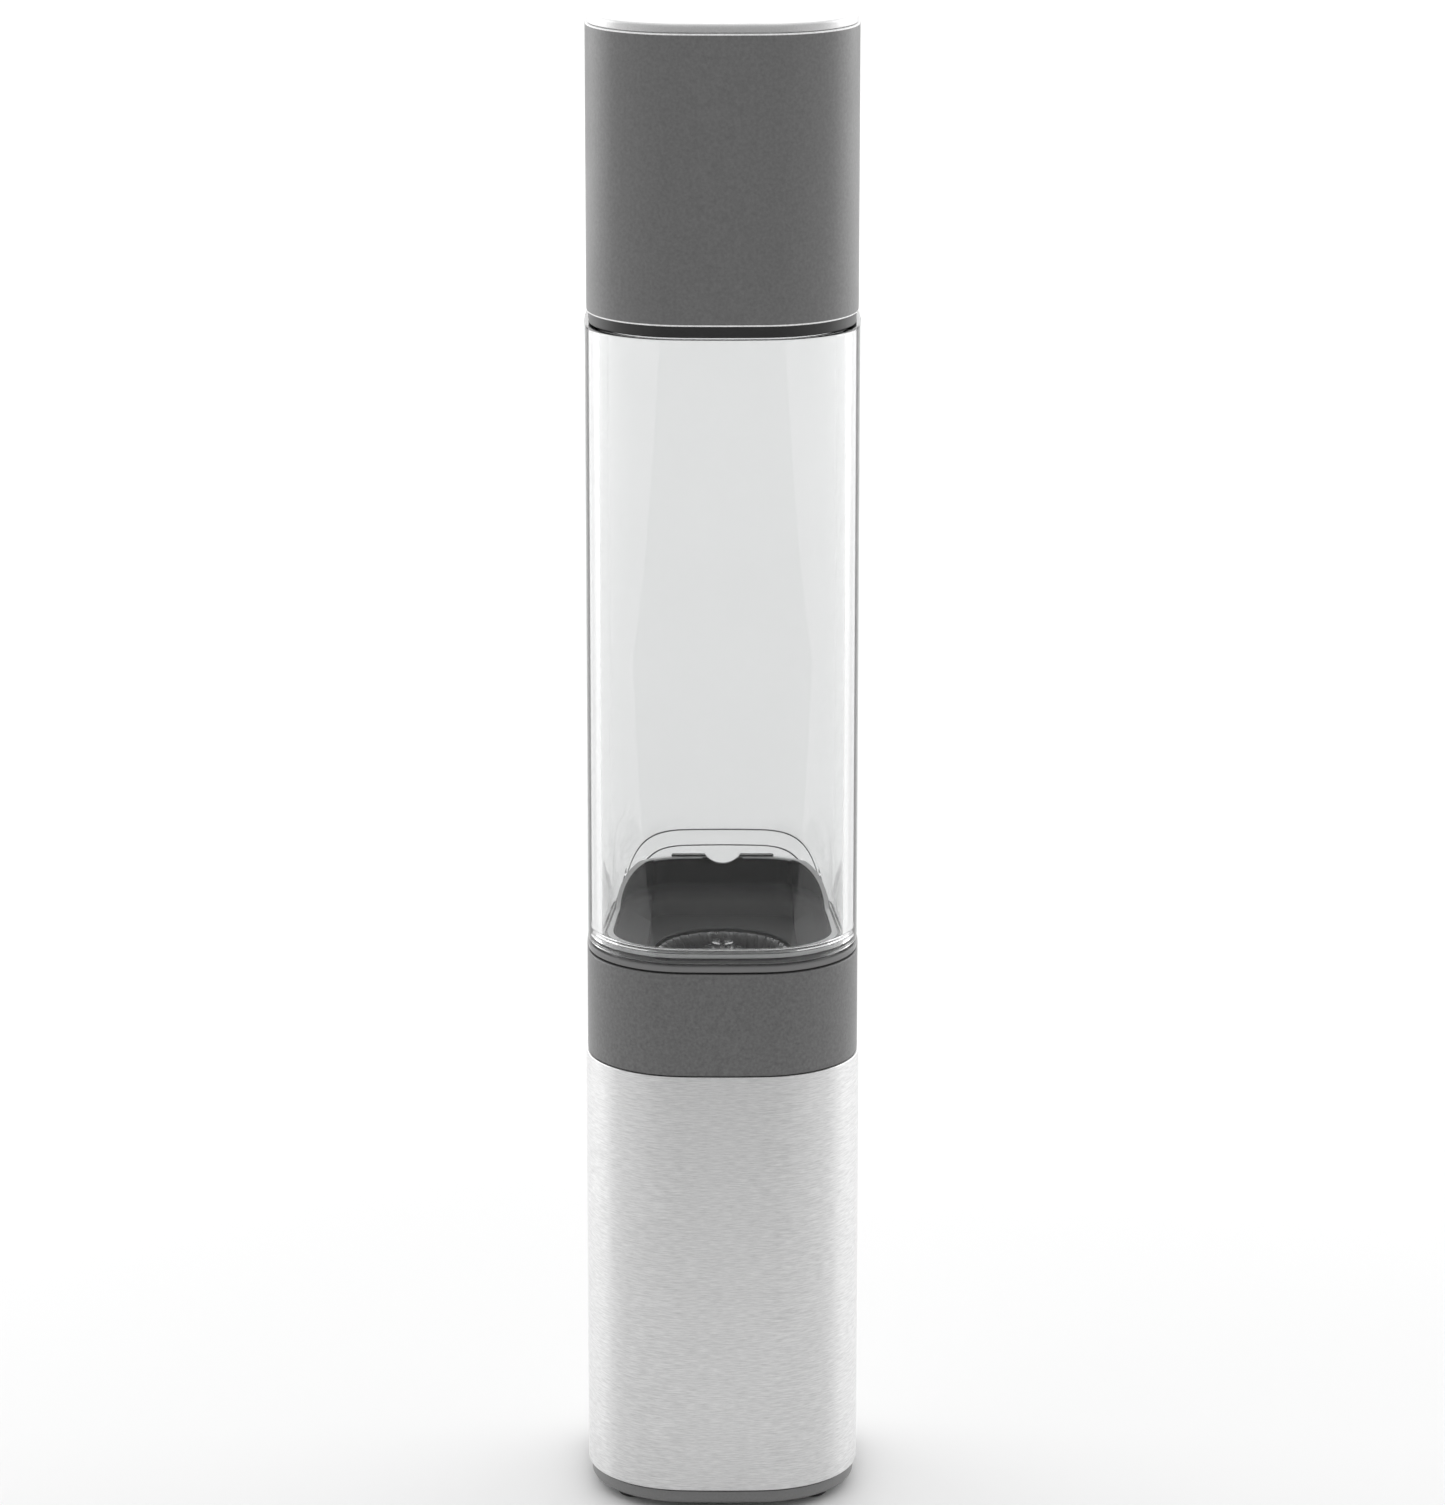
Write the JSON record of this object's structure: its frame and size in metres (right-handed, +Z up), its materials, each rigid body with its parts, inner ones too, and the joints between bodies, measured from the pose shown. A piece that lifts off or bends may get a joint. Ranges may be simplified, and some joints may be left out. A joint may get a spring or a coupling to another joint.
{
  "type": "pepper mill",
  "caption": "Tall manual pepper mill: clear reservoir with a lift-off cap turns on a brushed steel base that holds a cone burr.",
  "frame": {"origin": "middle of the footprint, on the plane the feet stand on", "axes": "+Z up along the mill and its turning axis, -Y towards the viewer, +X to the viewer's right"},
  "size_m": [0.0488, 0.0488, 0.2663],
  "materials": {
    "dark_plastic": "satin dark grey",
    "gloss_plastic": "gloss near black",
    "inside_plastic": "matt grey moulding",
    "clear_plastic": "clear",
    "brushed_sleeve": "brushed round the body",
    "satin_plate": "satin",
    "bright_steel": "bright",
    "burr_steel": "machined, with fine teeth",
    "nylon": "natural nylon",
    "silicone": "pale, slightly glossy",
    "rubber": "matt"
  },
  "bodies": {
    "base": {"steel_sleeve": "brushed_sleeve", "inner_housing": "inside_plastic", "base_plate": "dark_plastic", "foot_back_right": "rubber", "foot_back_left": "rubber", "foot_front_left": "rubber", "foot_front_right": "rubber", "outlet_chute": "inside_plastic", "drive_spider": "inside_plastic", "spindle_bush": "nylon", "slide_washer": "nylon", "base_screw_1": "bright_steel", "base_screw_2": "bright_steel", "base_screw_3": "bright_steel", "base_screw_4": "bright_steel", "chute_screw_1": "bright_steel", "chute_screw_2": "bright_steel", "chute_screw_3": "bright_steel", "chute_screw_4": "bright_steel"},
    "reservoir": {"container": "clear_plastic", "hopper": "gloss_plastic", "collar_band": "dark_plastic", "container_seal": "silicone", "stator_burr": "burr_steel", "burr_clamp_ring": "bright_steel", "swivel_ring": "bright_steel", "collar_screw_1": "bright_steel", "collar_screw_2": "bright_steel", "collar_screw_3": "bright_steel", "collar_screw_4": "bright_steel"},
    "cap": {"cap_shell": "dark_plastic", "top_plate": "satin_plate", "cap_liner": "dark_plastic", "cap_gasket": "rubber", "cap_screw_1": "bright_steel", "cap_screw_2": "bright_steel", "cap_screw_3": "bright_steel", "cap_screw_4": "bright_steel"},
    "rotor": {"spindle": "bright_steel", "rotor_burr": "burr_steel", "upper_clip": "bright_steel", "lower_clip": "bright_steel", "spring_washer": "bright_steel", "burr_spring": "bright_steel"},
    "adjuster": {"adjuster_knob": "dark_plastic", "adjuster_screw": "bright_steel"}
  },
  "joints": [
    {"name": "base_twist", "type": "hinge", "parent": "base", "child": "reservoir", "pos_m": [0, 0, 0.0817], "axis": [0, 0, 1], "continuous": true},
    {"name": "cap_lift", "type": "slide", "parent": "reservoir", "child": "cap", "axis": [0, 0, 1], "range_m": [0, 0.05]},
    {"name": "adjuster_turn", "type": "hinge", "parent": "base", "child": "adjuster", "pos_m": [0, 0, 0.004], "axis": [0, 0, 1], "range_deg": [-120, 120]},
    {"name": "burr_lift", "type": "slide", "parent": "base", "child": "rotor", "axis": [0, 0, 1], "range_m": [-0.00033, 0.00033], "deforming": ["burr_spring"]}
  ],
  "couplings": [
    {"joint": "adjuster_turn", "follows": "burr_lift", "rad_per_m": 6283.2}
  ]
}
